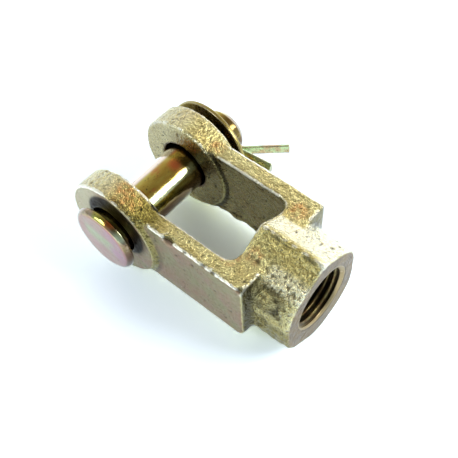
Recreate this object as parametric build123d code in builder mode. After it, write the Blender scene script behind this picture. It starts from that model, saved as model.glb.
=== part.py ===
from build123d import *
import math
import os

os.makedirs("parts", exist_ok=True)

# The origin lies where the eye axis crosses the socket axis.
# +X runs along the socket axis to its mouth, +Y along the eye axis to the washer, +Z up.

# Fork sizes in millimetres
slot_width = 20.0
arm_thickness = 4.5
arm_height = 20.0
slot_depth = 32.0
slot_corner_radius = 2.6
bridge_length = 6.4
neck_radius = 7.0
shoulder_lower_radius = 2.5
arm_edge_round = 0.7

# Eye sizes
eye_diameter = 26.0
eye_hole_diameter = 13.2
boss_inner_height = 1.0
boss_outer_height = 1.4
eye_edge_round = 0.6

# Socket sizes: a forged body with a ridge along its top and a deeper, rounder keel below
socket_length = 10.5
socket_width = 24.6
socket_rise = 13.0
socket_drop = 14.4
socket_flank_angle = 27.0
socket_corner_share = 1.42
socket_ridge_radius = 1.8
socket_keel_radius = 8.0
socket_end_round = 0.8

# Thread M16 x 1.5, bored here to its minor diameter
thread_major_diameter = 16.0
thread_pitch = 1.5
thread_depth_per_pitch = 1.0825
thread_mouth_margin = 0.2
thread_mouth_angle = 90.0

# Clevis pin sizes
pin_diameter = 12.0
pin_seat_clearance = 0.05
pin_head_diameter = 17.8
pin_head_thickness = 2.0
pin_head_gap = 1.9
pin_head_front_round = 0.7
pin_head_back_round = 0.3
pin_end_margin = 3.95
pin_end_chamfer_length = 1.2
pin_end_chamfer_depth = 0.9
cross_hole_diameter = 3.2

# Washer sizes: it hangs askew, its top away from the eye and its +X side towards it
washer_diameter = 24.6
washer_bore_clearance = 0.25
washer_thickness = 1.1
washer_edge_round = 0.25
washer_lean_angle = 4.3
washer_turn_angle = 2.3
washer_eye_gap = 0.7

# Split pin sizes
split_wire_radius = 1.3
split_leg_gap = 0.1
split_washer_gap = 0.12
split_bend_clearance = 1.95
split_bend_radius = 2.0
split_upper_leg_angle = 41.0
split_upper_leg_length = 12.0
split_lower_leg_angle = 5.0
split_lower_leg_length = 9.3
split_loop_radius = 0.8
split_loop_throat = 3.2
split_loop_clearance = 0.3

# Places that follow from the sizes
slot_half = slot_width / 2
fork_half = slot_half + arm_thickness
boss_inner_y = slot_half - boss_inner_height
boss_outer_y = fork_half + boss_outer_height
eye_radius = eye_diameter / 2
shoulder_x = slot_depth + bridge_length
socket_end_x = shoulder_x + socket_length
thread_minor_diameter = thread_major_diameter - thread_depth_per_pitch * thread_pitch
thread_mouth_diameter = thread_major_diameter + 2 * thread_mouth_margin

pin_radius = pin_diameter / 2
pin_drop = eye_hole_diameter / 2 - pin_radius - pin_seat_clearance
pin_z = -pin_drop
head_back_y = -boss_outer_y - pin_head_gap
head_front_y = head_back_y - pin_head_thickness
washer_lean = math.tan(math.radians(washer_lean_angle))
washer_turn = math.tan(math.radians(washer_turn_angle))
washer_y = boss_outer_y + washer_eye_gap + washer_diameter / 2 * math.hypot(washer_lean, washer_turn)
neck_x = -pin_radius - split_loop_clearance
loop_x = neck_x - split_loop_throat
loop_front_y = washer_y + washer_thickness - loop_x * washer_turn + split_wire_radius * washer_lean + split_washer_gap
cross_hole_y = loop_front_y + split_loop_radius + split_wire_radius
pin_end_y = cross_hole_y + pin_end_margin

pin_axis = Axis((0, 0, pin_z), (0, 1, 0))
pin_cross_plane = Plane(origin=(0, cross_hole_y, pin_z), x_dir=(0, 1, 0), z_dir=(1, 0, 0))


# Yoke: two arms with eyes, a bridge and a threaded socket, forged in one piece
socket_side = socket_width / 2
socket_slope = math.radians(socket_flank_angle)
socket_top = socket_rise + socket_ridge_radius * (1 / math.cos(socket_slope) - 1)
socket_bottom = socket_drop + socket_keel_radius * (1 / math.cos(socket_slope) - 1)
socket_fall = socket_side * math.tan(socket_slope)
socket_corner_radius = socket_corner_share * (min(socket_top, socket_bottom) - socket_fall)

with BuildPart() as yoke:
    with BuildSketch(Plane.XZ) as side_outline:
        Circle(eye_radius)
        with Locations((shoulder_x / 2, 0)):
            Rectangle(shoulder_x, arm_height)
        corners = side_outline.vertices().group_by(Axis.X)
        fillet(corners[-2], radius=neck_radius)
        lower_corner = side_outline.vertices().group_by(Axis.X)[-1].sort_by(Axis.Y)[0]
        fillet(lower_corner, radius=shoulder_lower_radius)
    extrude(amount=fork_half, both=True)

    with BuildSketch(Plane.XY):
        with Locations(((shoulder_x - eye_radius) / 2, 0)):
            Rectangle(shoulder_x + eye_radius, 2 * fork_half)
        with BuildSketch(mode=Mode.SUBTRACT) as slot_outline:
            with Locations(((slot_depth - eye_radius) / 2, 0)):
                Rectangle(slot_depth + eye_radius, slot_width)
            fillet(slot_outline.vertices().group_by(Axis.X)[-1], radius=slot_corner_radius)
    extrude(amount=eye_radius, both=True, mode=Mode.INTERSECT)
    faces_across = yoke.faces().filter_by(Axis.Y).sort_by(Axis.Y)
    fillet(faces_across[0].edges() + faces_across[-1].edges(), radius=arm_edge_round)

    for side in (-1, 1):
        boss_plane = Plane(origin=(0, side * boss_inner_y, 0), x_dir=(1, 0, 0), z_dir=(0, side, 0))
        with BuildSketch(boss_plane):
            Circle(eye_radius)
        extrude(amount=boss_outer_y - boss_inner_y)
    eye_rims = yoke.edges().filter_by(GeomType.CIRCLE).group_by(Axis.X)[0]
    fillet(eye_rims, radius=eye_edge_round)

    with BuildSketch(Plane.YZ.offset(slot_depth)) as socket_outline:
        with BuildLine():
            Polyline(
                (0, socket_top),
                (socket_side, socket_top - socket_fall),
                (socket_side, socket_fall - socket_bottom),
                (0, -socket_bottom),
                (-socket_side, socket_fall - socket_bottom),
                (-socket_side, socket_top - socket_fall),
                close=True,
            )
        make_face()
        fillet(socket_outline.vertices().sort_by(Axis.Y)[-1], radius=socket_ridge_radius)
        fillet(socket_outline.vertices().sort_by(Axis.Y)[0], radius=socket_keel_radius)
        sides = socket_outline.vertices().group_by(Axis.X)
        fillet(sides[0] + sides[-1], radius=socket_corner_radius)
    extrude(amount=bridge_length + socket_length)
    fillet(yoke.faces().sort_by(Axis.X)[-1].edges(), radius=socket_end_round)

    with Locations(Plane.XZ):
        Hole(radius=eye_hole_diameter / 2)
    with Locations(Plane.YZ.offset(socket_end_x)):
        CounterSinkHole(
            radius=thread_minor_diameter / 2,
            counter_sink_radius=thread_mouth_diameter / 2,
            depth=bridge_length + socket_length,
            counter_sink_angle=thread_mouth_angle,
        )

yoke.part.label = "yoke"
export_step(yoke.part, "parts/yoke.step")

# Clevis pin: rounded head, shank, chamfered end and a cross hole for the split pin
with BuildPart() as clevis_pin:
    with BuildSketch(Plane.XY.offset(pin_z)) as pin_profile:
        with BuildLine():
            Polyline(
                (0, head_front_y),
                (pin_head_diameter / 2, head_front_y),
                (pin_head_diameter / 2, head_back_y),
                (pin_radius, head_back_y),
                (pin_radius, pin_end_y - pin_end_chamfer_length),
                (pin_radius - pin_end_chamfer_depth, pin_end_y),
                (0, pin_end_y),
                close=True,
            )
        make_face()
        front_rim = pin_profile.vertices().group_by(Axis.X)[-1].sort_by(Axis.Y)[0]
        fillet(front_rim, radius=pin_head_front_round)
        back_rim = pin_profile.vertices().group_by(Axis.X)[-1].sort_by(Axis.Y)[-1]
        fillet(back_rim, radius=pin_head_back_round)
    revolve(axis=pin_axis)
    with Locations(pin_cross_plane):
        Hole(radius=cross_hole_diameter / 2)

clevis_pin.part.label = "clevis_pin"
export_step(clevis_pin.part, "parts/clevis_pin.step")

# Washer: a flat ring on the shank, between the eye and the split pin
with BuildPart() as washer:
    with BuildSketch(Plane(origin=(0, washer_y, pin_z), z_dir=(washer_turn, 1, -washer_lean))):
        Circle(washer_diameter / 2)
        Circle(pin_radius + washer_bore_clearance, mode=Mode.SUBTRACT)
    extrude(amount=washer_thickness)
    outer_rims = washer.edges().filter_by(GeomType.CIRCLE).group_by(SortBy.RADIUS)[-1]
    fillet(outer_rims, radius=washer_edge_round)

washer.part.label = "washer"
export_step(washer.part, "parts/washer.step")

# Split pin: one half-round wire, looped at -X, both legs through the cross hole and bent beyond it
leg_offset = split_leg_gap / 2
bend_x = pin_radius + split_bend_clearance
upper_bend = math.radians(split_upper_leg_angle)
lower_bend = math.radians(split_lower_leg_angle)
throat = math.hypot(split_loop_throat, leg_offset)
touch = math.atan2(leg_offset, split_loop_throat) + math.acos(split_loop_radius / throat)
touch_x = loop_x + split_loop_radius * math.cos(touch)
touch_rise = split_loop_radius * math.sin(touch)

with BuildPart() as split_pin:
    with BuildLine(Plane.XY.offset(pin_z)) as wire_path:
        FilletPolyline(
            (bend_x + split_upper_leg_length * math.cos(upper_bend),
             cross_hole_y + leg_offset + split_upper_leg_length * math.sin(upper_bend)),
            (bend_x, cross_hole_y + leg_offset),
            (neck_x, cross_hole_y + leg_offset),
            (touch_x, cross_hole_y + touch_rise),
            radius=split_bend_radius,
        )
        ThreePointArc(
            (touch_x, cross_hole_y + touch_rise),
            (loop_x - split_loop_radius, cross_hole_y),
            (touch_x, cross_hole_y - touch_rise),
        )
        FilletPolyline(
            (touch_x, cross_hole_y - touch_rise),
            (neck_x, cross_hole_y - leg_offset),
            (bend_x, cross_hole_y - leg_offset),
            (bend_x + split_lower_leg_length * math.cos(lower_bend),
             cross_hole_y - leg_offset + split_lower_leg_length * math.sin(lower_bend)),
            radius=split_bend_radius,
        )
    wire_line = wire_path.wire()
    wire_start = Plane(origin=wire_line @ 0, x_dir=(0, 0, 1), z_dir=wire_line % 0)
    with BuildSketch(wire_start):
        with BuildLine():
            ThreePointArc((-split_wire_radius, 0), (0, split_wire_radius), (split_wire_radius, 0))
            Line((split_wire_radius, 0), (-split_wire_radius, 0))
        make_face()
    sweep(path=wire_line)

split_pin.part.label = "split_pin"
export_step(split_pin.part, "parts/split_pin.step")
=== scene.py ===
import math

import bmesh
import bpy
import numpy as np
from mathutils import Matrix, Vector


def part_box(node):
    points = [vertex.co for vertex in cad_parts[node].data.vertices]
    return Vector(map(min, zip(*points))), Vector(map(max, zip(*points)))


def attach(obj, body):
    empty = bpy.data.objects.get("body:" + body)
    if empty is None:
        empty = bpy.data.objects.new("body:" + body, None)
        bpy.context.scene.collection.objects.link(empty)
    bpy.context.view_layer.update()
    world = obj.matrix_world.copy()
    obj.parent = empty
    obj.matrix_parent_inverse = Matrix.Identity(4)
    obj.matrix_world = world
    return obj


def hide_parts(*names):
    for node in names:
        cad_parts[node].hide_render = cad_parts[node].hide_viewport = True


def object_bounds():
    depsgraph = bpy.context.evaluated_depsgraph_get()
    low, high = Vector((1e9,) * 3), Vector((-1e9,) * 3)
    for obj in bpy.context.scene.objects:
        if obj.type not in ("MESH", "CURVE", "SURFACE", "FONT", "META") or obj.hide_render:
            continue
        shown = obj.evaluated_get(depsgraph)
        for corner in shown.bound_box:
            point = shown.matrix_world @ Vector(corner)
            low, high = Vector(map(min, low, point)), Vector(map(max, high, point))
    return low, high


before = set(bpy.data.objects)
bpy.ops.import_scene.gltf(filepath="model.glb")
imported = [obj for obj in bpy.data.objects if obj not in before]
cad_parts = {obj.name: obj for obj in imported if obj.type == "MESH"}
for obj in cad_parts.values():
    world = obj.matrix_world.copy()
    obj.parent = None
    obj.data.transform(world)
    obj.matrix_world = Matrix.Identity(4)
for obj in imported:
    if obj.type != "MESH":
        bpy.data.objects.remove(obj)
frame_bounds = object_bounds()

# Sizes are in millimetres in the CAD's frame, and MM turns them into metres.
MM = 0.001

# Fork
slot_depth = 32.0
slot_half = 10.0
fork_half = 14.5
shoulder_x = 38.4
socket_end_x = 48.9
arm_half_height = 10.0
eye_hole_radius = 6.6
boss_outer_y = 15.9
boss_inner_y = 9.0
fork_voxel = 0.36
weld_distance = 0.002

# How the fork's creases fill up: rounds, pull a round, and the hollow that gets the full pull
crease_rounds = 34
crease_pull = 0.6
crease_full_hollow = 0.01

# Where the middles of the fork's rounded edges lie
eye_rim_radius = 12.7
eye_outer_rim_y = 15.6
eye_inner_rim_y = 9.3
arm_outer_edge_y = 14.2
arm_outer_edge_z = 9.7
arm_inner_edge_z = 9.8

# The marks of the forging dies
flash_height = 0.14
ridge_height = 0.40
ridge_half_width = 2.2
pit_depth = 0.16

# Thread M16 x 1.5
thread_pitch = 1.5
thread_crest_radius = 7.188
thread_root_radius = 8.0
thread_mouth_radius = 8.2
thread_wall_radius = 8.6
thread_flank_slope = 2.7
thread_root_share = 0.12
thread_tail_rise = 0.3
thread_clearance = 0.02
thread_slot_gap = 0.05
thread_mouth_gap = 0.04
thread_wall_gap = 0.02
thread_around = 120
thread_step = 0.12

# Pin
pin_radius = 6.0
pin_z = -0.55
pin_head_thickness = 2.0
pin_chamfer_length = 1.2
pin_chamfer_depth = 0.9
pin_corner_radii = (1.6, 0.3, 0.15, 0.3, 0.3)
pin_outline_step = 0.3
pin_around = 128
cross_hole_radius = 1.6
cross_hole_around = 48
sharp_edge_angle = math.radians(40)

# Washer
washer_bore_radius = 6.25
washer_outer_radius = 12.3
washer_thickness = 1.1
washer_corner_radii = (0.25, 0.25, 0.15, 0.15)
washer_outline_step = 0.2
washer_around = 144
washer_y = 17.648
washer_lean = math.tan(math.radians(4.3))
washer_turn = math.tan(math.radians(2.3))

# Split pin
wire_radius = 1.3
leg_offset = 0.05
cross_hole_y = 21.448
bend_x = 7.95
upper_bend = math.radians(41.0)
upper_leg_length = 12.0
lower_bend = math.radians(5.0)
lower_leg_length = 9.3
neck_x = -6.3
loop_x = -9.5
loop_radius = 0.8
wire_bend_radius = 2.0
wire_step = 0.25
wire_loop_points = 24
wire_arc_points = 15
wire_flat_points = 9
wire_flat_share = 0.93

# Dents and pits as (place, radius, depth)
DENTS = (
    ((17.4, -14.4, 10.0), 2.0, 0.70),
    ((18.4, -14.9, 9.4), 0.9, 0.35),
    ((27.7, -14.3, 9.9), 0.9, 0.35),
    ((30.4, -14.4, 9.8), 0.9, 0.35),
    ((24.5, -14.5, 6.8), 0.7, 0.25),
    ((37.6, -14.2, 9.8), 1.3, 0.40),
    ((22.4, -14.4, 10.0), 0.7, 0.30),
    ((46.3, 6.1, 10.1), 0.6, 0.15),
    ((45.3, 9.9, 7.4), 0.5, 0.15),
    ((47.0, 8.0, 9.0), 0.5, 0.15),
    ((38.3, 4.1, 11.1), 0.5, 0.15),
)

# Orange stains in the yoke's plate as (place, radius)
YOKE_STAINS = (
    ((3.3, -12.2, 12.4), 5.5),
    ((34.8, 9.6, 10.0), 3.6),
    ((9.0, 12.0, 9.5), 3.0),
    ((31.0, -9.0, 10.0), 3.0),
    ((34.9, -6.0, 11.0), 2.8),
)

# Copper stains in the pin's plate as (place, radius)
PIN_STAINS = (
    ((1.5, 4.8, 5.3), 2.6),
    ((-2.2, 7.6, 4.9), 2.2),
    ((3.1, -18.4, 7.6), 1.9),
)

# Yellow zinc plate goes from gold through olive, green and pink with its thickness.
GOLD = (0.60, 0.48, 0.17)
PALE_GOLD = (0.78, 0.73, 0.38)
OLIVE = (0.36, 0.30, 0.09)
GREEN = (0.300, 0.270, 0.140)
PINK = (0.345, 0.215, 0.145)
ORANGE = (0.64, 0.36, 0.12)
BRONZE = (0.17, 0.10, 0.04)
RUST = (0.50, 0.20, 0.07)
SILVER = (0.90, 0.88, 0.80)
IVORY = (0.97, 0.96, 0.81)
# Black for real specks, and for painted shade in creases, hollows, the slot and the thread's roots
SOOT_AND_SHADE = (0.022, 0.017, 0.010)

# More films of the yoke, and its painted highlight, painted light and painted shade colours
HIGHLIGHT_STRAW = (0.88, 0.86, 0.67)
GRAIN_SHADE = (0.15, 0.12, 0.05)
MOSS = (0.19, 0.16, 0.06)
PAINTED_LIGHT_STONE = (0.58, 0.53, 0.35)
SHADE_TAN = (0.14, 0.07, 0.025)
TURNED_BROWN = (0.17, 0.125, 0.075)
TURNED_GOLD = (0.22, 0.15, 0.065)
CREST_OLIVE = (0.24, 0.20, 0.08)
MOUTH_GOLD = (0.38, 0.29, 0.15)

# Films of the pin, with its painted shade, painted highlight and painted reflection colours
AMBER = (0.47, 0.33, 0.06)
PEAR = (0.57, 0.53, 0.14)
RIM_BROWN = (0.17, 0.12, 0.06)
RIM_ROSE = (0.36, 0.26, 0.20)
HIGHLIGHT_LIME = (0.52, 0.50, 0.13)
COPPER = (0.66, 0.19, 0.06)
SHADE_UMBER = (0.10, 0.045, 0.02)
HIGHLIGHT_GREEN = (0.66, 0.70, 0.42)
REFLECTION_BLUSH = (0.84, 0.74, 0.66)
HEAD_CLAY = (0.38, 0.19, 0.15)
HEAD_TAN = (0.37, 0.23, 0.16)
HEAD_GREY = (0.32, 0.21, 0.17)
HEAD_GREEN = (0.32, 0.36, 0.16)
MAUVE = (0.38, 0.15, 0.22)

# Films of the washer and the wire
WASHER_GOLD = (0.40, 0.31, 0.10)
WIRE_GREEN = (0.52, 0.68, 0.38)
WIRE_PINK = (0.52, 0.39, 0.22)

# The studio: its floor, and its sky by height and from the front to behind the object
WHITE = (1.0, 1.0, 1.0)
FLOOR_LIT = (0.78, 0.78, 0.76)
FLOOR_SHOWN = (1.58, 1.77, 2.06)
FLOOR_FADE = [(0.10, 0.0), (0.30, 1.0)]
SKY_BY_HEIGHT = [
    (0.0, WHITE),
    (0.3, (0.76, 0.77, 0.78)),
    (0.7, (0.48, 0.44, 0.35)),
    (1.0, (0.22, 0.17, 0.10)),
]
SKY_BY_SIDE = [
    (0.20, (0.34, 0.42, 0.48)),
    (0.50, (0.55, 0.62, 0.66)),
    (0.80, WHITE),
]
SKY_STRENGTH = 1.35
BEHIND = (-0.4, 0.9, 0.15)
floor_reach = 900.0
floor_gap = 0.05

# Area lamps as (name, direction, size, power), all at one distance
LAMPS = (
    ("key", (0.68, 0.41, 0.61), (170.0, 150.0), 0.75),
    ("front", (-0.40, -0.81, 0.42), (220.0, 140.0), 0.35),
    ("high", (-0.30, -0.64, 0.70), (110.0, 90.0), 0.22),
    ("back", (-0.30, 0.94, 0.14), (260.0, 120.0), 0.19),
)
lamp_distance = 420.0
lamp_centre_x = 15.0


# Mesh tools

def new_piece(name, places, faces, smooth=True):
    """A mesh object from places in millimetres and faces as lists of indices."""
    mesh = bpy.data.meshes.new(name)
    mesh.from_pydata((np.asarray(places) * MM).tolist(), [], faces)
    mesh.update()
    if smooth:
        mesh.shade_smooth()
    else:
        mesh.shade_flat()
    piece = bpy.data.objects.new(name, mesh)
    bpy.context.scene.collection.objects.link(piece)
    return piece


def get_places(mesh, field="co"):
    """One row a vertex: its place in metres, or its normal."""
    flat = np.empty(3 * len(mesh.vertices))
    mesh.vertices.foreach_get(field, flat)
    return flat.reshape(-1, 3)


def set_places(mesh, places):
    """Moves the vertices to places in millimetres."""
    mesh.vertices.foreach_set("co", (places * MM).ravel())
    mesh.update()


def get_edges(mesh):
    """One row an edge: its two vertices."""
    flat = np.empty(2 * len(mesh.edges), dtype=int)
    mesh.edges.foreach_get("vertices", flat)
    return flat.reshape(-1, 2)


def neighbour_mean(values, edges):
    """The mean of each vertex's neighbours, for an array with one row a vertex."""
    count = np.bincount(edges.ravel(), minlength=len(values))
    columns = values.reshape(len(values), -1)
    total = np.empty_like(columns)
    for i in range(columns.shape[1]):
        total[:, i] = np.bincount(edges[:, 0], columns[edges[:, 1], i], len(values))
        total[:, i] += np.bincount(edges[:, 1], columns[edges[:, 0], i], len(values))
    return (total / np.maximum(count, 1)[:, None]).reshape(values.shape)


def apply_modifiers(piece):
    """Works the piece's modifiers into a new smooth mesh and returns it."""
    graph = bpy.context.evaluated_depsgraph_get()
    mesh = bpy.data.meshes.new_from_object(piece.evaluated_get(graph))
    piece.modifiers.clear()
    piece.data = mesh
    mesh.shade_smooth()
    return mesh


def fine_copy(cad_node, name, voxel):
    """A copy of a CAD node's mesh, welded and rebuilt from small even faces."""
    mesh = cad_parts[cad_node].data.copy()
    mesh.name = name
    mesh.materials.clear()
    welded = bmesh.new()
    welded.from_mesh(mesh)
    bmesh.ops.remove_doubles(welded, verts=welded.verts, dist=weld_distance * MM)
    welded.to_mesh(mesh)
    welded.free()
    piece = bpy.data.objects.new(name, mesh)
    bpy.context.scene.collection.objects.link(piece)
    remesh = piece.modifiers.new("remesh", "REMESH")
    remesh.mode = "VOXEL"
    remesh.voxel_size = voxel * MM
    apply_modifiers(piece).name = name
    return piece


def value_noise(places, size, seed):
    """Smooth noise from -1 to 1 whose lumps are about size millimetres wide."""
    scaled = places / size + 100.0
    cell = np.floor(scaled).astype(np.int64)
    part = scaled - cell
    part = part * part * (3 - 2 * part)
    total = np.zeros(len(places))
    for corner in np.ndindex(2, 2, 2):
        at = cell + np.array(corner)
        mixed = at[:, 0] * 374761393 + at[:, 1] * 668265263 + at[:, 2] * 1440662683 + seed * 974634777
        mixed = (mixed ^ (mixed >> 13)) * 1274126177 & 0xFFFFFFFF
        level = (mixed >> 8 & 0xFFFF) / 32767.5 - 1
        near = np.where(corner, part, 1 - part)
        total += level * near.prod(axis=1)
    return total


def band(values, start, end):
    """0 before start and 1 after end, with a smooth step between them. start may be above end."""
    part = np.clip((values - start) / (end - start), 0, 1)
    return part * part * (3 - 2 * part)


def spot(places, at, radius, core):
    """1 within core millimetres of a place, falling to 0 at radius."""
    return band(np.linalg.norm(places - np.array(at), axis=1), radius, core)


def store(mesh, name, values):
    """Keeps one number a vertex on the mesh for its material."""
    layer = mesh.attributes.new(name, "FLOAT", "POINT")
    layer.data.foreach_set("value", np.clip(values, 0, 1).astype(np.float32))


def relief(mesh, edges, reach):
    """How far each vertex stands out, in millimetres: above 0 on edges and below 0 in creases."""
    places = get_places(mesh) / MM
    up = get_places(mesh, "normal")
    level = ((places - neighbour_mean(places, edges)) * up).sum(axis=1)
    for _ in range(reach):
        level = (level + neighbour_mean(level, edges)) / 2
    return level


def grid_faces(rows, columns, close_rows=False):
    """Quads over rows of vertices. Each row closes round, and the last row meets the first if asked."""
    faces = []
    for i in range(rows if close_rows else rows - 1):
        row = i * columns
        next_row = (i + 1) % rows * columns
        for j in range(columns):
            beside = (j + 1) % columns
            faces.append((row + j, row + beside, next_row + beside, next_row + j))
    return faces


def resample(points, step):
    """The same line with a point about every step."""
    line = [np.array(points[0], dtype=float)]
    for start, end in zip(points[:-1], points[1:]):
        start, end = np.array(start, dtype=float), np.array(end, dtype=float)
        parts = max(1, round(np.linalg.norm(end - start) / step))
        line += [start + (end - start) * k / parts for k in range(1, parts + 1)]
    return np.array(line)


def rounded(points, radii, step):
    """A flat line through the points with each inner corner rounded to its radius."""
    line = [np.array(points[0], dtype=float)]
    for before, corner, after, radius in zip(points[:-2], points[1:-1], points[2:], radii):
        before, corner, after = (np.array(p, dtype=float) for p in (before, corner, after))
        back = (before - corner) / np.linalg.norm(before - corner)
        ahead = (after - corner) / np.linalg.norm(after - corner)
        half = math.acos(np.clip(back @ ahead, -1, 1)) / 2
        if half > math.pi / 2 - 0.01:
            line.append(corner)
            continue
        middle = back + ahead
        centre = corner + middle / np.linalg.norm(middle) * radius / math.sin(half)
        first = corner + back * radius / math.tan(half) - centre
        last = corner + ahead * radius / math.tan(half) - centre
        sweep = math.pi - 2 * half
        parts = max(2, math.ceil(sweep * radius / step))
        for k in range(parts + 1):
            turn = k / parts * sweep
            line.append(centre + (first * math.sin(sweep - turn) + last * math.sin(turn)) / math.sin(sweep))
    line.append(np.array(points[-1], dtype=float))
    return resample(line, step)


def lathe(name, outline, turns):
    """A body of revolution about the pin's axis from an outline of (radius, y) points.

    The outline starts and ends on the axis, or closes on itself away from it.
    """
    angle = np.arange(turns) * 2 * math.pi / turns
    ring = np.stack([np.sin(angle), np.zeros(turns), np.cos(angle)], 1)
    rows = [ring * radius + np.array([0, y, pin_z]) for radius, y in outline]
    if outline[0][0] > 0:
        return new_piece(name, np.concatenate(rows), grid_faces(len(rows), turns, close_rows=True))
    inner = rows[1:-1]
    tips = np.array([[0, outline[0][1], pin_z], [0, outline[-1][1], pin_z]])
    places = np.concatenate(inner + [tips])
    first, last = len(places) - 2, len(places) - 1
    start = (len(inner) - 1) * turns
    faces = grid_faces(len(inner), turns)
    faces += [(first, (j + 1) % turns, j) for j in range(turns)]
    faces += [(last, start + j, start + (j + 1) % turns) for j in range(turns)]
    return new_piece(name, places, faces)


def ring_about_x(x, radius, angle):
    """Places round the socket's axis at x."""
    return np.stack([np.full(len(angle), x), radius * np.sin(angle), radius * np.cos(angle)], 1)


# Material tools

def node(tree, kind, inputs=None, **settings):
    """A new shader node with its settings, and its inputs set or linked."""
    made = tree.nodes.new("ShaderNode" + kind)
    for key, value in settings.items():
        setattr(made, key, value)
    for key, value in (inputs or {}).items():
        if isinstance(value, bpy.types.NodeSocket):
            tree.links.new(value, made.inputs[key])
        else:
            made.inputs[key].default_value = value
    return made


def new_material(name):
    """An empty node material and its tree."""
    material = bpy.data.materials.new(name)
    material.use_nodes = True
    material.node_tree.nodes.clear()
    return material, material.node_tree


def place_socket(tree):
    """The place on the piece, in metres."""
    return node(tree, "TexCoord").outputs["Object"]


def speckle(tree, where, size, detail=3.0, shift=0.0, squeeze=(1.0, 1.0, 1.0)):
    """A noise whose lumps are about size millimetres wide.

    shift gives another pattern, and squeeze below 1 makes the lumps longer that way.
    """
    moved = node(tree, "VectorMath", {0: where, 1: (shift, shift * 0.7, shift * 1.3)}, operation="ADD")
    moved = node(tree, "VectorMath", {0: moved.outputs[0], 1: squeeze}, operation="MULTIPLY")
    inputs = {"Vector": moved.outputs[0], "Scale": 1 / (size * MM), "Detail": detail, "Roughness": 0.55}
    return node(tree, "TexNoise", inputs).outputs["Fac"]


def ramp(tree, value, stops):
    """A colour ramp. stops has (position, grey or colour) pairs."""
    made = node(tree, "ValToRGB", {"Fac": value})
    elements = made.color_ramp.elements
    while len(elements) < len(stops):
        elements.new(0.5)
    for element, (position, colour) in zip(elements, stops):
        element.position = position
        element.color = (colour,) * 3 + (1,) if isinstance(colour, float) else colour + (1,)
    return made.outputs["Color"]


def patches(tree, where, size, low, high, **pattern):
    """A speckle cut into patches. low and high are (position, grey) pairs."""
    return ramp(tree, speckle(tree, where, size, **pattern), [low, high])


def mix(tree, factor, low, high, blend="MIX"):
    """low where factor is 0 and high where it is 1. Each may be a socket, and low and high a colour."""
    made = node(tree, "Mix", data_type="RGBA", blend_type=blend)
    for key, value in ((0, factor), (6, low), (7, high)):
        if isinstance(value, bpy.types.NodeSocket):
            tree.links.new(value, made.inputs[key])
        elif key == 0:
            made.inputs[key].default_value = value
        else:
            made.inputs[key].default_value = value + (1,)
    return made.outputs[2]


def maths(tree, operation, first, second=0.0):
    """The result of one operation on two numbers or sockets."""
    return node(tree, "Math", {0: first, 1: second}, operation=operation).outputs[0]


def weighted(tree, start, *terms):
    """start plus each (socket, weight) pair's product."""
    total = start
    for value, weight in terms:
        total = maths(tree, "ADD", total, maths(tree, "MULTIPLY", value, weight))
    return total


def kept(tree, name):
    """The numbers that store() left on the mesh."""
    return node(tree, "Attribute", attribute_name=name).outputs["Fac"]


def bumps(tree, *layers):
    """A normal from (height, distance in millimetres, strength) layers, one on the next."""
    below = None
    for height, distance, strength in layers:
        made = node(tree, "Bump", {"Height": height, "Distance": distance * MM, "Strength": strength})
        if below is not None:
            tree.links.new(below, made.inputs["Normal"])
        below = made.outputs["Normal"]
    return below


def metal(tree, colour, roughness, normal, coat=0.0):
    """The tree's surface: bare or thinly coated metal."""
    shader = node(tree, "BsdfPrincipled", {"Base Color": colour, "Metallic": 1.0, "Roughness": roughness,
                                           "Normal": normal, "Coat Weight": coat, "Coat Roughness": 0.12})
    node(tree, "OutputMaterial", {"Surface": shader.outputs[0]})


# Materials

def forged_film(tree, where, pale, grain):
    """The forged skin: gold, with olive and orange places, a painted highlight on the flanks and eye tops, and
    painted shade in its grain's hollows.
    """
    film = mix(tree, patches(tree, where, 9.0, (0.40, 0.15), (0.65, 0.75), detail=2.0), PALE_GOLD, GOLD)
    film = mix(tree, patches(tree, where, 0.7, (0.55, 0.0), (0.75, 0.5), shift=0.3), film, OLIVE)
    film = mix(tree, kept(tree, "olive"), film, OLIVE)
    cloud = patches(tree, where, 1.5, (0.38, 0.1), (0.62, 0.8), shift=0.4)
    film = mix(tree, maths(tree, "MULTIPLY", kept(tree, "stain"), cloud), film, ORANGE)
    # Painted highlight in straw where 'pale' is: the far flank, the near flank's middle and the eyes' tops
    film = mix(tree, maths(tree, "MULTIPLY", pale, 0.85), film, HIGHLIGHT_STRAW)
    # Painted shade in the grain's hollows on the crumpled flank
    grain_shade = maths(tree, "MULTIPLY", kept(tree, "crumpled"), ramp(tree, grain, [(0.37, 0.75), (0.46, 0.0)]))
    return mix(tree, grain_shade, film, GRAIN_SHADE)


def smooth_film(tree, where):
    """The smoother faces: grey-green and pink, with painted light on the eyes' faces, painted shade in tan on
    the slot walls, and brown on the end.
    """
    face = mix(tree, patches(tree, where, 6.0, (0.38, 0.0), (0.64, 1.0), shift=0.8), GREEN, PINK)
    face = mix(tree, patches(tree, where, 0.7, (0.48, 0.0), (0.74, 0.6), shift=0.9), face, MOSS)
    # Painted light in stone on the eyes' faces in the slot and the left of the near eye's outer face
    face = mix(tree, kept(tree, "painted_light_face"), face, PAINTED_LIGHT_STONE)
    # Painted shade in tan on the slot walls
    face = mix(tree, kept(tree, "tan"), face, SHADE_TAN)
    cloud = patches(tree, where, 3.0, (0.42, 0.0), (0.60, 1.0), shift=0.6)
    return mix(tree, kept(tree, "turned"), face, mix(tree, cloud, TURNED_BROWN, TURNED_GOLD))


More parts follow.
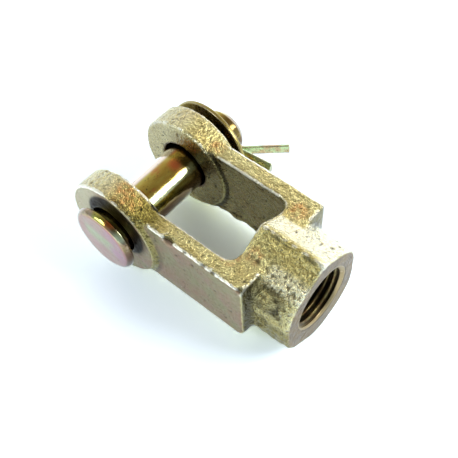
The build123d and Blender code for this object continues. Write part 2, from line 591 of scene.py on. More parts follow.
def forged_plate():
    """The fork's skin: golden and grainy where forged, grey-green and pink on its smoother faces."""
    material, tree = new_material("forged_plate")
    where = place_socket(tree)
    smooth, pale, turned = (kept(tree, name) for name in ("smooth", "pale", "turned"))
    grain = speckle(tree, where, 0.72, detail=2.5, shift=2.1, squeeze=(1.0, 0.8, 0.8))
    fine = speckle(tree, where, 0.35, detail=2.0, shift=2.6)

    # Bare metal along the edges, partly painted highlight, has a ragged border with a dark line beside it
    ragged = maths(tree, "MULTIPLY", maths(tree, "SUBTRACT", speckle(tree, where, 1.0, shift=5.0), 0.5), 0.30)
    ragged = maths(tree, "ADD", kept(tree, "edge_near"), ragged)
    worn = maths(tree, "MAXIMUM", kept(tree, "worn"), ramp(tree, ragged, [(0.84, 0.0), (0.90, 1.0)]))
    beside = ramp(tree, ragged, [(0.70, 0.0), (0.76, 0.35), (0.82, 0.0)])
    dots = patches(tree, where, 0.45, (0.66, 0.0), (0.73, 0.8), detail=1.0, shift=1.7)
    dots = maths(tree, "MULTIPLY", dots, maths(tree, "SUBTRACT", 1.0, maths(tree, "MULTIPLY", pale, 0.4)))

    colour = mix(tree, smooth, forged_film(tree, where, pale, grain), smooth_film(tree, where))
    # The last cover is painted shade and dirt in black
    for cover, film in ((dots, SOOT_AND_SHADE), (beside, SOOT_AND_SHADE), (worn, IVORY), (kept(tree, "shade_and_grime"), SOOT_AND_SHADE)):
        colour = mix(tree, cover, colour, film)
    cloud = patches(tree, where, 0.9, (0.3, 0.13), (0.7, 0.26), shift=3.1)
    rough = weighted(tree, cloud, (smooth, 0.14), (worn, 0.12))
    depth = weighted(tree, 0.55, (smooth, -0.42), (kept(tree, "crumpled"), 0.45),
                     (kept(tree, "bright_flank"), -0.10))
    rings = node(tree, "TexWave", {"Vector": where, "Scale": 0.55 / MM, "Distortion": 0.6, "Detail": 1.0},
                 wave_type="RINGS", rings_direction="X").outputs["Fac"]
    normal = bumps(tree, (grain, 1.15, depth), (fine, 0.28, depth), (rings, 0.03, turned))
    metal(tree, colour, rough, normal)
    return material


def thread_plate():
    """The thread's turns: black painted shade in the roots and deeper in the bore, bronze crests, and a paler
    mouth.
    """
    material, tree = new_material("thread_plate")
    where = place_socket(tree)
    film = mix(tree, patches(tree, where, 1.5, (0.4, 0.0), (0.6, 1.0)), BRONZE, CREST_OLIVE)
    # Painted shade: black wherever the crest weight is low, in the roots and deeper in the bore
    colour = mix(tree, kept(tree, "crest"), SOOT_AND_SHADE, film)
    colour = mix(tree, kept(tree, "mouth"), colour, MOUTH_GOLD)
    rough = patches(tree, where, 0.6, (0.3, 0.25), (0.7, 0.45), shift=0.4)
    normal = bumps(tree, (speckle(tree, where, 0.25, shift=0.9), 0.02, 0.7))
    metal(tree, colour, rough, normal)
    return material


def shank_film(tree, where):
    """The shank: amber and olive, with rusty patches, copper stains, painted shade in brown, a painted
    highlight line and glint, and a pale painted reflection.
    """
    long_way = (1.0, 0.35, 1.0)
    cloud = patches(tree, where, 3.0, (0.40, 0.0), (0.62, 1.0), squeeze=long_way)
    shank = mix(tree, cloud, AMBER, PEAR)
    cloud = patches(tree, where, 2.4, (0.55, 0.0), (0.68, 0.7), shift=0.6, squeeze=long_way)
    shank = mix(tree, cloud, shank, RUST)
    cloud = patches(tree, where, 2.6, (0.44, 0.0), (0.60, 1.0), shift=3.3)
    rim = mix(tree, cloud, RIM_BROWN, RIM_ROSE)
    films = (("rim", rim), ("lime", HIGHLIGHT_LIME), ("stain", COPPER), ("brown", SHADE_UMBER), ("green", HIGHLIGHT_GREEN),
             ("blush", REFLECTION_BLUSH))
    for name, film in films:
        shank = mix(tree, kept(tree, name), shank, film)
    return shank


def head_film(tree, where):
    """The head's face: soft clay colours with a green streak and a mauve side."""
    swirl = speckle(tree, where, 7.0, detail=1.5, shift=1.1)
    face = ramp(tree, swirl, [(0.36, HEAD_CLAY), (0.60, HEAD_TAN), (0.72, HEAD_GREY)])
    face = mix(tree, kept(tree, "streak"), face, HEAD_GREEN)
    return mix(tree, kept(tree, "mauve"), face, MAUVE)


def pin_plate():
    """The pin's smooth plate: patches on the shank, soft pink and green on the head."""
    material, tree = new_material("pin_plate")
    where = place_socket(tree)
    colour = mix(tree, kept(tree, "head"), shank_film(tree, where), head_film(tree, where))
    dots = patches(tree, where, 0.6, (0.68, 0.0), (0.74, 0.7), detail=1.0, shift=1.9)
    colour = mix(tree, dots, colour, SOOT_AND_SHADE)
    colour = mix(tree, kept(tree, "worn"), colour, SILVER)
    rough = patches(tree, where, 1.0, (0.3, 0.08), (0.7, 0.17), shift=1.4)
    waves = speckle(tree, where, 1.1, detail=1.5, shift=2.2, squeeze=(1.0, 0.5, 1.0))
    normal = bumps(tree, (waves, 0.05, 0.5), (speckle(tree, where, 0.3, shift=2.9), 0.02, 0.5))
    metal(tree, colour, rough, normal, coat=0.5)
    return material


def washer_plate():
    """The washer: gold film with olive and pink patches, and bright worn edges."""
    material, tree = new_material("washer_plate")
    where = place_socket(tree)
    film = mix(tree, patches(tree, where, 3.0, (0.42, 0.0), (0.60, 1.0)), WASHER_GOLD, OLIVE)
    film = mix(tree, patches(tree, where, 4.0, (0.55, 0.0), (0.70, 0.7), shift=0.7), film, PINK)
    colour = mix(tree, kept(tree, "worn"), film, SILVER)
    rough = patches(tree, where, 0.8, (0.3, 0.20), (0.7, 0.38), shift=1.2)
    normal = bumps(tree, (speckle(tree, where, 0.8, shift=1.9), 0.03, 0.6))
    metal(tree, colour, rough, normal)
    return material


def wire_plate():
    """The split pin's pale plate, from green to pink."""
    material, tree = new_material("wire_plate")
    where = place_socket(tree)
    film = mix(tree, patches(tree, where, 3.5, (0.42, 0.0), (0.58, 1.0), shift=0.2), WIRE_GREEN, WIRE_PINK)
    film = mix(tree, patches(tree, where, 0.7, (0.60, 0.0), (0.70, 0.7), shift=0.8), film, SOOT_AND_SHADE)
    colour = mix(tree, kept(tree, "worn"), film, SILVER)
    rough = patches(tree, where, 0.8, (0.3, 0.18), (0.7, 0.35), shift=1.2)
    normal = bumps(tree, (speckle(tree, where, 0.6, shift=1.9), 0.02, 0.6))
    metal(tree, colour, rough, normal)
    return material


# Yoke

class Skin:
    """The yoke's vertices: where they lie and face, and from 0 to 1 how much they belong to a part.

    The parts are the holes' walls, the dents, the smoother faces, and the socket's near flank with
    its crumpled middle.
    """

    def __init__(self, places, up, holes):
        x, y, _ = places.T
        self.places = places
        self.up = up
        self.holes = holes
        self.dented = np.zeros(len(places))
        side_face = band(np.abs(up[:, 1]), 0.85, 0.97) * band(np.abs(y), fork_half - 0.5, fork_half - 0.2)
        self.end_face = band(up[:, 0], 0.9, 0.98) * band(x, socket_end_x - 1.0, socket_end_x - 0.4)
        self.inner_face = band(np.abs(up[:, 1]), 0.8, 0.95)
        self.inner_face *= band(np.abs(y), slot_half + 0.8, slot_half + 0.4)
        outer_faces = np.maximum(side_face, self.end_face)
        self.smooth = np.maximum(outer_faces, np.maximum(self.inner_face * 0.6, holes))
        self.flank = band(-y, 2.0, 6.0) * band(x, shoulder_x, shoulder_x + 1.5)
        self.crumpled = self.flank * band(y, -3.4, -5.4)


def hole_walls(places):
    """Which vertices line the thread's bore, and 1 for those that line any hole."""
    x, y, z = places.T
    in_bore = (np.hypot(y, z) < thread_mouth_radius + 0.4) & (x > slot_depth - 0.5)
    in_eye = (np.hypot(x, z) < eye_hole_radius + 0.5) & (np.abs(y) > boss_inner_y - 0.5)
    return in_bore, (in_bore | in_eye).astype(float)


def fill_creases(places, mesh, edges, keep_out):
    """Smooths only where the surface is hollow, so that creases fill up like those of a forging."""
    for _ in range(crease_rounds):
        set_places(mesh, places)
        up = get_places(mesh, "normal")
        pull = neighbour_mean(places, edges) - places
        rise = (pull * up).sum(axis=1)
        share = np.clip(rise / crease_full_hollow, 0, 1) * crease_pull * (1 - keep_out)
        places = places + pull * share[:, None]
    return places


def forging_relief(skin):
    """How far the skin stands out: lumps, grain, pits, and the ridge and flash line on the socket."""
    places = skin.places
    x, y, z = places.T
    lump = value_noise(places, 7.0, seed=3) * 0.09 + value_noise(places, 3.2, seed=4) * 0.05
    grain = value_noise(places, 1.25, seed=5) * 0.07 + value_noise(places, 0.75, seed=6) * 0.05
    grain *= 1 + 2.0 * skin.crumpled
    pits = -pit_depth * band(value_noise(places, 0.9, seed=7), 0.72, 0.9)
    ridge = band(x, slot_depth - 0.5, slot_depth + 1.5) * band(np.abs(z), 10.0, 11.5)
    ridge *= np.clip(1 - np.abs(y) / ridge_half_width, 0, 1) * ridge_height * band(z, 0.0, 1.0)
    flash = flash_height * band(np.abs(y + 0.25), 0.6, 0.1) * band(x, slot_depth, slot_depth + 1.5)
    flash *= band(z, 10.0, 11.5)
    flash *= 1 + value_noise(places, 1.2, seed=8)
    raised = (lump + pits + (ridge + flash) * (1 - skin.end_face)) * (1 - skin.holes)
    return raised + grain * (1 - 0.85 * skin.smooth)


def press_dents(skin):
    """Sinks the dents into the skin and notes how near to one each vertex lies."""
    for at, radius, depth in DENTS:
        near = spot(skin.places, at, radius, radius * 0.35)
        skin.places = skin.places - skin.up * (near * depth)[:, None]
        skin.dented = np.maximum(skin.dented, near)


def wave_far_edge(places):
    """Makes the far arm's lower inner edge wavy."""
    x, y, z = places.T
    near = band(z, -8.6, -9.6) * band(y, 13.0, 11.0) * band(y, 8.0, 9.5)
    near *= band(x, 6.0, 10.0) * band(x, 33.0, 30.0)
    wave = value_noise(places * np.array([1, 0, 0]), 2.6, seed=9)
    places[:, 1] -= near * (0.25 + 0.45 * wave)


def clear_bore(places, in_bore):
    """Keeps the bore's wall clear of the thread's turns."""
    radius = np.hypot(places[:, 1], places[:, 2])
    wall = thread_mouth_radius + thread_clearance
    tight = in_bore & (radius < wall)
    places[tight, 1:] *= (wall / radius[tight])[:, None]


def edge_distance(skin):
    """The distance to the nearest long edge of an arm or rim of an eye, where the plate wears off and painted
    highlight lines go.
    """
    x, y, z = skin.places.T
    reach = np.hypot(x, z)
    inner_edge = np.hypot(np.abs(y) - slot_half - 0.1, z - arm_inner_edge_z)
    inner_edge += band(x, slot_depth - 3.5, slot_depth - 2.0)
    outer_edge = np.hypot(np.abs(y) - arm_outer_edge_y, z - arm_outer_edge_z)
    arm_edge = np.minimum(outer_edge, inner_edge)
    outer_rim = np.hypot(reach - eye_rim_radius, np.abs(y) - eye_outer_rim_y)
    inner_rim = np.hypot(reach - eye_rim_radius, np.abs(y) - eye_inner_rim_y)
    eye_edge = np.minimum(outer_rim, inner_rim)
    # Painted highlight placement: stronger on the near eye's left edges, weaker on the far eye, none low down
    eye_edge += 0.30 + 0.30 * band(y, 0.0, 1.0) - 0.45 * band(x, 1.0, -1.0) * band(-y, 14.0, 15.0)
    return np.minimum(arm_edge - 0.08 + band(x, 12.0, 10.0), eye_edge + band(z, 5.0, 2.0))


def slot_wall(skin):
    """The arms' walls inside the slot, where painted shade goes."""
    x, y, z = skin.places.T
    wall = band(np.abs(y), slot_half + 0.9, slot_half + 0.3) * band(x, slot_depth + 0.5, slot_depth - 0.5)
    wall *= (band(np.abs(z), arm_half_height + 2.6, arm_half_height - 0.8)
             * band(np.abs(skin.up[:, 1]), 0.5, 0.85))
    return wall * (1 - 0.3 * band(x, 11.0, 13.0))


def eye_inner_faces(skin):
    """The eyes' faces inside the slot, more so towards -X."""
    x, _, z = skin.places.T
    return band(np.hypot(x, z), 13.2, 12.6) * band(x, 4.0, -6.0) * skin.inner_face


def boss_groove(skin):
    """The hollow on the near arm's outer face, round the foot of its boss."""
    x, y, z = skin.places.T
    reach = np.hypot(x, z)
    return band(reach, 12.4, 12.9) * band(reach, 15.2, 14.2) * band(-y, 14.2, 14.6) * band(x, 0.0, 4.0)


def low_flank(skin):
    """The lower part of the socket's near flank."""
    x, y, z = skin.places.T
    flank = band(z, 3.5, -1.0) * band(-y, 6.0, 9.0) * band(x, shoulder_x, shoulder_x + 1.0)
    return flank * (1 - skin.end_face)


def paint_wear_and_highlights(mesh, skin, level, edge):
    """Keeps where the plate is worn off to bright metal, partly a painted highlight that is stronger on the
    upper edges.
    """
    x, y, z = skin.places.T
    # A painted highlight line along the near eye's inner rim top
    inner_rim = band(np.hypot(np.hypot(x, z) - 12.8, y + 9.2), 0.8, 0.4) * band(z, 2.0, 5.0)
    worn = np.maximum(band(level, 0.035, 0.065) * 0.5, band(edge, 0.018, 0.032) * 0.8)
    patchy = band(value_noise(skin.places, 1.3, seed=10), -0.6, -0.1)
    worn = np.maximum(worn, inner_rim * 0.9) * (1 - skin.holes) * patchy
    near_mouth = band(x, socket_end_x - 1.6, socket_end_x - 1.0) * band(-y, 0.5, 2.5)
    worn *= (1 - 0.75 * near_mouth) * (1 - 0.8 * skin.end_face)
    # Painted highlight: the bright edges fade towards the bottom
    worn *= 0.4 + 0.6 * band(z, 2.0, 7.0)
    store(mesh, "worn", worn)
    store(mesh, "edge_near", 1 - edge_distance(skin) / 2)


def paint_shade_and_grime(mesh, skin, level, edge):
    """Keeps painted shade and dirt: darker in creases, dents and holes, a painted shadow round the pin's head,
    painted shade on the shoulder, the feet, the boss groove, the low flank and the slot walls, and a dark
    parting line.
    """
    x, y, z = skin.places.T
    reach = np.hypot(x, z)
    # Painted shadow of the pin's head on the near eye's face
    head_shadow = band(np.hypot(x - 1.8, z - 3.4), 8.9, 8.1)
    head_shadow *= band(y, -boss_outer_y + 0.5, -boss_outer_y + 0.2)
    crease = np.maximum(band(level, -0.012, -0.040) * 0.6, band(edge, -0.004, -0.014) * 0.8)
    crease *= 1 - 0.75 * skin.flank
    # Painted shade on the shoulder face, which faces into the recess
    facing = get_places(mesh, "normal")[:, 0]
    shoulder = band(facing, 0.5, 0.85) * band(np.abs(x - shoulder_x), 0.9, 0.4)
    # Painted shade at the feet of the bosses and the flank, and beside the shoulder
    boss_foot = band(np.abs(reach - 13.4), 0.8, 0.3) * band(np.abs(y), slot_half + 0.6, slot_half + 0.2)
    boss_foot *= band(x, 4.0, 7.0) * band(np.abs(z), 10.6, 9.8)
    flank_foot = band(y, -7.8, -9.6) * band(z, 2.0, 4.5) * band(x, shoulder_x, shoulder_x + 0.8)
    flank_foot *= 1 - skin.end_face
    flank_foot *= band(x, 49.0, 45.0) * (0.6 + 0.4 * value_noise(skin.places, 1.0, seed=11))
    by_shoulder = band(x, 41.0, 38.6) * band(y, -9.5, -12.0) * band(x, shoulder_x - 0.5, shoulder_x)
    parting = band(np.abs(y + 0.8), 0.5, 0.15) * band(x, slot_depth, slot_depth + 2) * band(z, 11.0, 12.0)
    parting *= band(value_noise(skin.places, 1.6, seed=12), -0.3, 0.2)
    # Painted shade and dirt in one mask; only the parting line is a real dark line
    store(mesh, "shade_and_grime", np.maximum.reduce([
        crease,
        head_shadow,
        skin.dented * 0.85,
        skin.holes * 0.5,
        shoulder * 0.7,
        by_shoulder * 0.9,
        boss_foot * 0.9,
        boss_groove(skin) * 0.35,
        flank_foot * 0.95,
        low_flank(skin) * 0.35,
        parting * 0.7,
        slot_wall(skin) * 0.44 * (1 - 0.7 * eye_inner_faces(skin)),
    ]))


def paint_films(mesh, skin):
    """Keeps where the plate is olive (painted shade on the low flank), orange or crumpled, where painted shade
    in tan lies on the slot walls, where the painted highlight 'pale' goes, and where painted light falls on the
    eyes' faces.
    """
    x, y, z = skin.places.T
    reach = np.hypot(x, z)
    on_arm = spot(skin.places, (8.0, -13.0, 9.5), 7.0, 3.0) * band(z, 7.0, 8.5)
    by_ridge = band(y, -6.0, -4.0) * band(y, 0.5, -0.5) * band(x, slot_depth, slot_depth + 2.0)
    by_ridge *= band(z, 6.0, 9.0)
    silvery = band(y, -4.2, -6.0) * band(y, -9.6, -8.2) * band(x, shoulder_x, shoulder_x + 2.0)
    silvery *= band(z, 5.0, 7.0)
    far_flank = band(skin.up[:, 1], 0.20, 0.38) * band(y, 0.3, 1.5) * band(x, slot_depth, slot_depth + 1.0)
    eye_tops = band(x, 2.5, -2.0) * band(reach, 12.3, 12.7) * band(z, 5.0, 9.0) * (1 - skin.smooth)
    near_face = band(reach, 13.2, 12.6) * band(x, 0.0, -6.0) * band(-y, fork_half, fork_half + 0.6)
    eye_faces = eye_inner_faces(skin)
    # On the low flank the olive is painted shade too
    greenish = [on_arm, by_ridge * 0.6, boss_groove(skin) * 0.8, low_flank(skin) * 0.8]
    store(mesh, "olive", np.maximum.reduce(greenish))
    # 'pale' is a painted highlight: the far flank, the near flank's silvery middle and the eyes' tops
    store(mesh, "pale", np.maximum.reduce([far_flank, silvery * 0.65, eye_tops * 0.4]))
    store(mesh, "bright_flank", far_flank)
    # Painted shade in tan on the slot walls, less on the eyes' faces
    store(mesh, "tan", slot_wall(skin) * (1 - 0.6 * eye_faces) * 0.8)
    store(mesh, "crumpled", np.maximum(skin.crumpled, eye_tops * 0.6))
    # Painted light on the eyes' faces in the slot and on the left of the near eye's outer face
    store(mesh, "painted_light_face", np.maximum(eye_faces, near_face * 0.65))
    store(mesh, "turned", skin.end_face)
    store(mesh, "smooth", skin.smooth)
    store(mesh, "stain", sum(spot(skin.places, at, radius, radius * 0.3) for at, radius in YOKE_STAINS))


def forged_yoke():
    """The yoke with a forging's grain, filled creases, flash line, pits and worn edges."""
    piece = fine_copy("yoke", "yoke_forged", fork_voxel)
    mesh = piece.data
    edges = get_edges(mesh)
    places = get_places(mesh) / MM
    in_bore, holes = hole_walls(places)
    for _ in range(2):
        places = places + (neighbour_mean(places, edges) - places) * 0.5
    places = fill_creases(places, mesh, edges, holes)
    set_places(mesh, places)
    skin = Skin(places, get_places(mesh, "normal"), holes)
    skin.places = places + skin.up * forging_relief(skin)[:, None]
    press_dents(skin)
    wave_far_edge(skin.places)
    clear_bore(skin.places, in_bore)
    skin.places[:, 2] = np.maximum(skin.places[:, 2], frame_bounds[0].z / MM)
    set_places(mesh, skin.places)
    level = relief(mesh, edges, 1)
    edge = relief(mesh, edges, 4)
    paint_wear_and_highlights(mesh, skin, level, edge)
    paint_shade_and_grime(mesh, skin, level, edge)
    paint_films(mesh, skin)
    mesh.materials.append(forged_plate())
    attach(piece, "fork")
    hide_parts("yoke")


def thread_sleeve():
    """The internal thread: one helical groove from the mouth to the slot."""
    start_x, end_x = slot_depth + thread_slot_gap, socket_end_x - thread_mouth_gap
    steps = round((end_x - start_x) / thread_step)
    along = np.linspace(start_x, end_x, steps + 1)
    angle = np.arange(thread_around) * 2 * math.pi / thread_around
    phase = (along[:, None] / thread_pitch - angle[None, :] / (2 * math.pi)) % 1.0
    crest = np.clip(np.abs(phase - 0.5) * thread_flank_slope - thread_root_share, 0, 1)
    radius = thread_root_radius - crest * (thread_root_radius - thread_crest_radius)
    mouth = thread_mouth_radius - (end_x - along)[:, None]
    tail = thread_crest_radius + thread_tail_rise - (along - start_x)[:, None]
    radius = np.maximum(np.maximum(radius, mouth), tail)
    rows = [ring_about_x(at, row, angle) for at, row in zip(along, radius)]
    wall_ends = (end_x - thread_wall_gap, start_x + thread_wall_gap)
    rows += [ring_about_x(at, thread_wall_radius, angle) for at in wall_ends]
    faces = grid_faces(len(rows), thread_around, close_rows=True)
    piece = new_piece("yoke_thread", np.concatenate(rows), faces)
    height = (thread_root_radius - radius) / (thread_root_radius - thread_crest_radius)
    # The crest weight fades out deeper in the bore, which leaves painted shade there
    height *= band(along, end_x - 7.5, end_x - 2.0)[:, None]
    at_mouth = np.repeat(band(along, end_x - 0.9, end_x - 0.7), thread_around)
    wall = np.zeros(thread_around)
    store(piece.data, "crest", np.concatenate([height.ravel(), wall, wall]))
    store(piece.data, "mouth", np.concatenate([at_mouth, wall + 1, wall]))
    piece.data.materials.append(thread_plate())
    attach(piece, "fork")


# Clevis pin

def drill(piece, radius, place, length):
    """Cuts a round hole along X through a piece."""
    angle = np.arange(cross_hole_around) * 2 * math.pi / cross_hole_around
    ring = np.stack([np.zeros(len(angle)), np.cos(angle) * radius, np.sin(angle) * radius], 1)
    ring += np.array(place)
    half = np.array([length / 2, 0, 0])
    faces = grid_faces(2, cross_hole_around)
    faces += [tuple(reversed(range(cross_hole_around))), tuple(range(cross_hole_around, 2 * cross_hole_around))]
    tool = new_piece("drill_tool", np.concatenate([ring - half, ring + half]), faces)
    cut = piece.modifiers.new("cut", "BOOLEAN")
    cut.operation = "DIFFERENCE"
    cut.object = tool
    drilled = apply_modifiers(piece)
    bpy.data.objects.remove(tool)
    drilled.set_sharp_from_angle(angle=sharp_edge_angle)


def paint_shank(mesh, places, is_head, face, end):
    """Keeps where the shank and the head's rim have their stains, painted shade, painted highlights and painted
    reflection.
    """
    x, y, z = places.T
    around = np.arctan2(x, z - pin_z)
    in_slot = band(np.abs(y), boss_inner_y + 1, boss_inner_y)
    # Painted shade: the shank darker by the far eye and on its lower right side
    by_far_eye = band(y, 3.5, 7.5) * band(x, -1.0, 2.0)
    shaded = band(z - pin_z, 3.4, 1.4) * band(x, 1.0, 4.0)
    # A painted highlight line along the shank, and a painted glint on the head's rim
    line = np.abs(around - 0.78 + 0.1 * value_noise(places, 2.0, seed=25))
    green = band(line, 0.24, 0.08) * in_slot
    glint = spot(places, (6.6, -19.0, 6.0), 2.2, 0.8)
    # A painted reflection: a pale band along the shank's upper-left side, plus a faint pale ring at the end's
    # chamfer
    blush = band(around, -0.20, -0.38) * band(around, -1.6, -1.2) * in_slot
    chamfer_y = end - pin_chamfer_length
    tip = band(y, chamfer_y - 0.3, chamfer_y + 0.2)
    store(mesh, "stain", sum(spot(places, at, radius, radius * 0.2) for at, radius in PIN_STAINS))
    store(mesh, "brown", np.maximum(shaded, by_far_eye * 0.7) * 0.9)
    store(mesh, "green", np.maximum(green, glint) * 0.9)
    store(mesh, "rim", is_head * (1 - face) * 0.9)
    # A painted highlight in lime on the top of the head's rim
    store(mesh, "lime", spot(places, (0.8, -18.6, 8.1), 3.4, 1.6))
    store(mesh, "blush", np.maximum(blush, tip * 0.3))


def paint_head(mesh, places, face):
    """Keeps where the head's face is, with its green streak and mauve side."""
    x, _, z = places.T
    around = np.arctan2(x, z - pin_z)
    across = np.abs(z - 0.4 + 0.17 * x + value_noise(places, 3.0, seed=24) * 0.8)
    side = band(np.hypot(x, z - pin_z), 3.2, 5.2) * band(around, 0.1, 0.5) * band(around, 2.5, 2.0)
    blot = band(np.hypot(x - 5.0, z + 1.2), 3.6, 0.8)
    store(mesh, "head", face)
    store(mesh, "streak", band(across, 3.2, 0.6) * band(np.abs(x), 6.0, 3.5) * face * 0.9)
    store(mesh, "mauve", np.maximum(blot, side * 0.6) * face * 0.9)


def headed_pin():
    """The clevis pin: rounded head, slightly uneven shank, chamfered end and cross hole."""
    low, high = (np.array(corner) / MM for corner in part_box("clevis_pin"))
    head_radius = (high[0] - low[0]) / 2
    front, back, end = low[1], low[1] + pin_head_thickness, high[1]
    corners = [(0, front), (head_radius, front), (head_radius, back), (pin_radius, back),
               (pin_radius, end - pin_chamfer_length), (pin_radius - pin_chamfer_depth, end), (0, end)]
    piece = lathe("clevis_pin_turned", rounded(corners, pin_corner_radii, pin_outline_step), pin_around)
    drill(piece, cross_hole_radius, (0.0, cross_hole_y, pin_z), 3 * pin_radius)
    mesh = piece.data
    places = get_places(mesh) / MM
    up = get_places(mesh, "normal")
    is_head = band(places[:, 1], back + 0.6, back + 0.1)
    face = band(-up[:, 1], 0.80, 0.97) * is_head
    shift = value_noise(places, 3.0, seed=21) * 0.04 + value_noise(places, 1.1, seed=22) * 0.012
    shift += is_head * (value_noise(places, 5.0, seed=23) * 0.05 - 0.05)
    set_places(mesh, places + up * (shift - 0.03)[:, None])
    store(mesh, "worn", band(relief(mesh, get_edges(mesh), 1), 0.02, 0.06))
    paint_shank(mesh, places, is_head, face, end)
    paint_head(mesh, places, face)
    mesh.materials.append(pin_plate())
    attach(piece, "pin")
    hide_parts("clevis_pin")


# Washer

def flat_washer():
    """The washer, with rolled edges and a slight warp."""
    middle = (washer_outer_radius + washer_bore_radius) / 2
    corners = [(middle, 0), (washer_outer_radius, 0), (washer_outer_radius, washer_thickness),
               (washer_bore_radius, washer_thickness), (washer_bore_radius, 0), (middle, 0)]
    outline = rounded(corners, washer_corner_radii, washer_outline_step)[:-1]
    piece = lathe("washer_pressed", outline, washer_around)
    mesh = piece.data
    places = get_places(mesh) / MM
    up = get_places(mesh, "normal")
    shift = value_noise(places, 2.0, seed=31) * 0.025 + value_noise(places, 0.8, seed=32) * 0.012 - 0.015
    places = places + up * shift[:, None] - np.array([0, 0, pin_z])
    facing = Vector((washer_turn, 1, -washer_lean))
    turn = np.array(Vector((0, 1, 0)).rotation_difference(facing).to_matrix())
    set_places(mesh, places @ turn.T + np.array([0, washer_y, pin_z]))
    store(mesh, "worn", band(relief(mesh, get_edges(mesh), 1), 0.018, 0.045) * 0.4)
    mesh.materials.append(washer_plate())
    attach(piece, "ring")
    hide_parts("washer")


# Split pin

def leg_end(y, bend, length):
    """Where a leg ends that bends away beyond the pin."""
    return bend_x + length * math.cos(bend), y + length * math.sin(bend)


def wire_path():
    """The split pin's middle line as (x, y), from the bent leg's end round the loop to the other leg's."""
    throat = math.hypot(neck_x - loop_x, leg_offset)
    touch = math.atan2(leg_offset, neck_x - loop_x) + math.acos(loop_radius / throat)
    touch_x, touch_rise = loop_x + loop_radius * math.cos(touch), loop_radius * math.sin(touch)
    upper, lower = cross_hole_y + leg_offset, cross_hole_y - leg_offset
    upper_leg = [leg_end(upper, upper_bend, upper_leg_length), (bend_x, upper), (neck_x, upper),
                 (touch_x, cross_hole_y + touch_rise)]
    lower_leg = [(touch_x, cross_hole_y - touch_rise), (neck_x, lower), (bend_x, lower),
                 leg_end(lower, lower_bend, lower_leg_length)]
    turn = np.linspace(touch, 2 * math.pi - touch, wire_loop_points)[1:-1]
    loop = np.stack([loop_x + loop_radius * np.cos(turn), cross_hole_y + loop_radius * np.sin(turn)], 1)
    bends = (wire_bend_radius, wire_bend_radius)
    return np.concatenate([rounded(upper_leg, bends, wire_step), loop, rounded(lower_leg, bends, wire_step)])


def face_outward(mesh):
    """Turns all faces of a closed mesh outward."""
    turned = bmesh.new()
    turned.from_mesh(mesh)
    bmesh.ops.recalc_face_normals(turned, faces=turned.faces)
    turned.to_mesh(mesh)
    turned.free()


def half_round_wire():
    """The split pin: half-round wire with its flat side inside, folded round a loop."""
    path = wire_path()
    ahead = np.gradient(path, axis=0)
    ahead /= np.linalg.norm(ahead, axis=1)[:, None]
    outward = np.stack([ahead[:, 1], -ahead[:, 0]], 1)
    arc = np.linspace(0, math.pi, wire_arc_points)
    flat = np.linspace(-wire_flat_share, wire_flat_share, wire_flat_points)[1:-1]
    across = np.concatenate([np.cos(arc) * wire_radius, flat * wire_radius])
    depth = np.concatenate([np.sin(arc) * wire_radius, np.zeros(len(flat))])
    rows = [np.stack([at[0] + out[0] * depth, at[1] + out[1] * depth, pin_z + across], 1)
            for at, out in zip(path, outward)]
    count = len(across)
    last = (len(rows) - 1) * count
    faces = grid_faces(len(rows), count)
    faces += [tuple(reversed(range(count))), tuple(range(last, last + count))]
    piece = new_piece("split_pin_wire", np.concatenate(rows), faces)
    mesh = piece.data
    face_outward(mesh)
    places = get_places(mesh) / MM
    up = get_places(mesh, "normal")
    set_places(mesh, places + up * (value_noise(places, 1.2, seed=41) * 0.02 - 0.02)[:, None])
    store(mesh, "worn", band(relief(mesh, get_edges(mesh), 1), 0.03, 0.09) * 0.6)
    mesh.materials.append(wire_plate())
    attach(piece, "pin")
    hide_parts("split_pin")


# Stage

def seen_ray(tree):
    """1 for the rays that show a thing: those of the camera, of gloss and of glass."""
    path = node(tree, "LightPath").outputs
    gloss = maths(tree, "MAXIMUM", path["Is Glossy Ray"], path["Is Transmission Ray"])
    return maths(tree, "MAXIMUM", path["Is Camera Ray"], gloss)


def floor_material():
    """Pale under the object, with its shadow, and white further out."""
    material, tree = new_material("floor_white")
    lit = node(tree, "BsdfDiffuse", {"Color": FLOOR_LIT + (1,)})
    pale = node(tree, "BsdfDiffuse", {"Color": FLOOR_SHOWN + (1,)})
    away = node(tree, "VectorMath", {0: place_socket(tree)}, operation="LENGTH").outputs["Value"]
    white = node(tree, "Emission", {"Color": WHITE + (1,), "Strength": 1.0})
    fade = ramp(tree, away, FLOOR_FADE)
    faded = node(tree, "MixShader", {0: fade, 1: pale.outputs[0], 2: white.outputs[0]})
    shown = node(tree, "MixShader", {0: seen_ray(tree), 1: lit.outputs[0], 2: faded.outputs[0]})
    node(tree, "OutputMaterial", {"Surface": shown.outputs[0]})
    return material


def studio_floor():
    """A wide floor just below the object."""
    height = frame_bounds[0].z / MM - floor_gap
    corners = [(x, y, height) for x, y in ((-floor_reach, -floor_reach), (floor_reach, -floor_reach),
                                           (floor_reach, floor_reach), (-floor_reach, floor_reach))]
    floor = new_piece("floor", corners, [(0, 1, 2, 3)], smooth=False)
    floor.data.materials.append(floor_material())


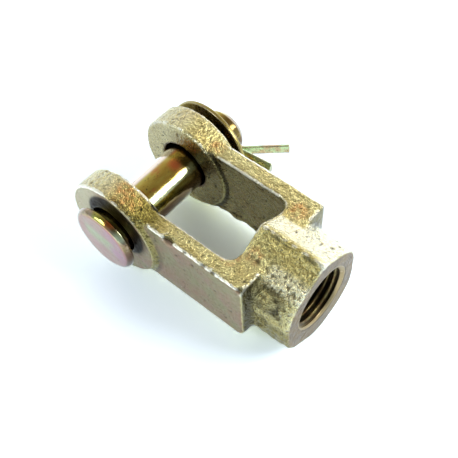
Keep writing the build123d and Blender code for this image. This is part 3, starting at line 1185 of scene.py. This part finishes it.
def studio_world():
    """White to the camera. To gloss and to the lit faces bright low down and behind, darker overhead."""
    world = bpy.data.worlds.new("studio")
    world.use_nodes = True
    bpy.context.scene.world = world
    tree = world.node_tree
    tree.nodes.clear()
    toward = node(tree, "TexCoord").outputs["Generated"]
    height = node(tree, "SeparateXYZ", {0: toward}).outputs["Z"]
    behind = node(tree, "VectorMath", {0: toward, 1: BEHIND}, operation="DOT_PRODUCT").outputs["Value"]
    behind = maths(tree, "ADD", maths(tree, "MULTIPLY", behind, 0.5), 0.5)
    sky = mix(tree, 1.0, ramp(tree, height, SKY_BY_HEIGHT), ramp(tree, behind, SKY_BY_SIDE), blend="MULTIPLY")
    around = node(tree, "Background", {"Color": sky, "Strength": SKY_STRENGTH})
    white = node(tree, "Background", {"Color": WHITE + (1,), "Strength": 1.0})
    path = node(tree, "LightPath").outputs
    seen = maths(tree, "MAXIMUM", path["Is Camera Ray"], path["Is Transmission Ray"])
    shown = node(tree, "MixShader", {0: seen, 1: around.outputs[0], 2: white.outputs[0]})
    node(tree, "OutputWorld", {"Surface": shown.outputs[0]})


def soft_lamp(name, toward, size, power):
    """An area lamp that looks at the object from the direction toward."""
    data = bpy.data.lights.new(name, "AREA")
    data.shape = "RECTANGLE"
    data.size, data.size_y = size[0] * MM, size[1] * MM
    data.energy = power
    lamp = bpy.data.objects.new(name, data)
    direction = Vector(toward).normalized()
    lamp.location = direction * lamp_distance * MM + Vector((lamp_centre_x * MM, 0, 0))
    lamp.rotation_mode = "QUATERNION"
    lamp.rotation_quaternion = direction.to_track_quat("Z", "Y")
    bpy.context.scene.collection.objects.link(lamp)


def photo_camera():
    """The camera at the photo's place and angle, for a square image."""
    data = bpy.data.cameras.new("camera")
    data.lens = 60.961
    data.sensor_width = 36.0
    data.clip_start = 0.01
    camera = bpy.data.objects.new("camera", data)
    camera.location = (0.09269, -0.07231, 0.14825)
    camera.rotation_euler = [math.radians(turn) for turn in (34.6003, 2.5709, 40.4946)]
    bpy.context.scene.collection.objects.link(camera)
    bpy.context.scene.camera = camera


forged_yoke()
thread_sleeve()
headed_pin()
flat_washer()
half_round_wire()
studio_floor()
studio_world()
for lamp in LAMPS:
    soft_lamp(*lamp)
photo_camera()
bpy.context.scene.view_settings.view_transform = "Standard"
